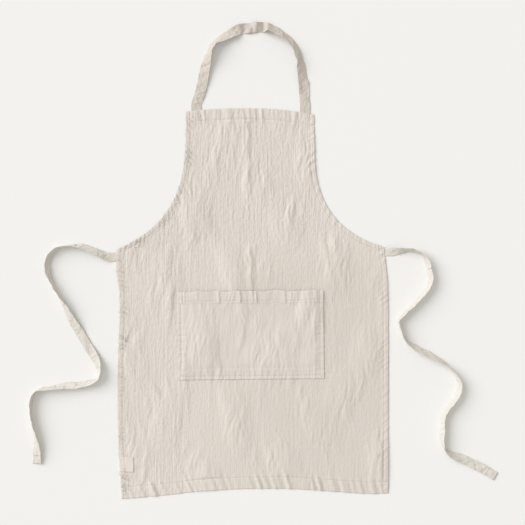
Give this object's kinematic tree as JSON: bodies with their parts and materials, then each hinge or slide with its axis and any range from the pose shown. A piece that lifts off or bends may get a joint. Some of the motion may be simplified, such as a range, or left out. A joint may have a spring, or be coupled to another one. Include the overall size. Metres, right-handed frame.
{
  "type": "bib apron",
  "caption": "Linen bib apron laid out flat, with turned hems, a slack patch pocket, a sewn neck strap, waist ties and a fold-over side label.",
  "frame": {"origin": "at floor level, under the middle of the apron's own outline without its neck strap and ties", "axes": "+X to the wearer's left as seen from the front, +Y up the apron towards the neck strap, +Z out of the front face"},
  "size_m": [1.038, 1.0584, 0.0211],
  "materials": {
    "linen": "washed natural linen, matt, creased",
    "strap_tape": "folded linen tape, matt",
    "sewing_thread": "matt spun thread",
    "label": "smooth woven tape, blank"
  },
  "bodies": {
    "apron": {"front_panel": "linen", "bib_hem": "linen", "bottom_hem": "linen", "side_hem_left": "linen", "side_hem_right": "linen", "armhole_hem_left": "linen", "armhole_hem_right": "linen", "pocket_panel": "linen", "pocket_turned_edge": "linen", "pocket_hem": "linen", "bib_hem_thread": "sewing_thread", "bottom_hem_thread": "sewing_thread", "side_hem_thread_left": "sewing_thread", "side_hem_thread_right": "sewing_thread", "armhole_thread_left": "sewing_thread", "armhole_thread_right": "sewing_thread", "pocket_thread": "sewing_thread", "pocket_hem_thread": "sewing_thread", "neck_strap_thread_left": "sewing_thread", "neck_strap_thread_right": "sewing_thread", "tie_thread_left": "sewing_thread", "tie_thread_right": "sewing_thread", "neck_strap_tab_left": "strap_tape", "neck_strap_tab_right": "strap_tape", "tie_tab_left": "strap_tape", "tie_tab_right": "strap_tape", "label_fold": "label"},
    "neck_strap": {"neck_strap": "strap_tape"},
    "tie_left": {"tie_left": "strap_tape", "tie_left_end_hem": "strap_tape", "tie_left_end_thread": "sewing_thread"},
    "tie_right": {"tie_right": "strap_tape", "tie_right_end_hem": "strap_tape", "tie_right_end_thread": "sewing_thread"},
    "label_flap": {"label_flap": "label"}
  },
  "joints": [
    {"name": "neck_strap_fold", "type": "hinge", "parent": "apron", "child": "neck_strap", "pos_m": [-0.006, 0.43125, 0.0022], "axis": [1, 0, 0], "range_deg": [0, 150]},
    {"name": "tie_left_fold", "type": "hinge", "parent": "apron", "child": "tie_left", "pos_m": [-0.3032, 0.1035, 0.0022], "axis": [0, 1, 0], "range_deg": [0, 130]},
    {"name": "tie_right_fold", "type": "hinge", "parent": "apron", "child": "tie_right", "pos_m": [0.2956, 0.1155, 0.0022], "axis": [0, -1, 0], "range_deg": [0, 130]},
    {"name": "label_flap_fold", "type": "hinge", "parent": "apron", "child": "label_flap", "pos_m": [-0.28271, -0.35725, 0.0025], "axis": [0, -1, 0], "range_deg": [0, 150]}
  ]
}
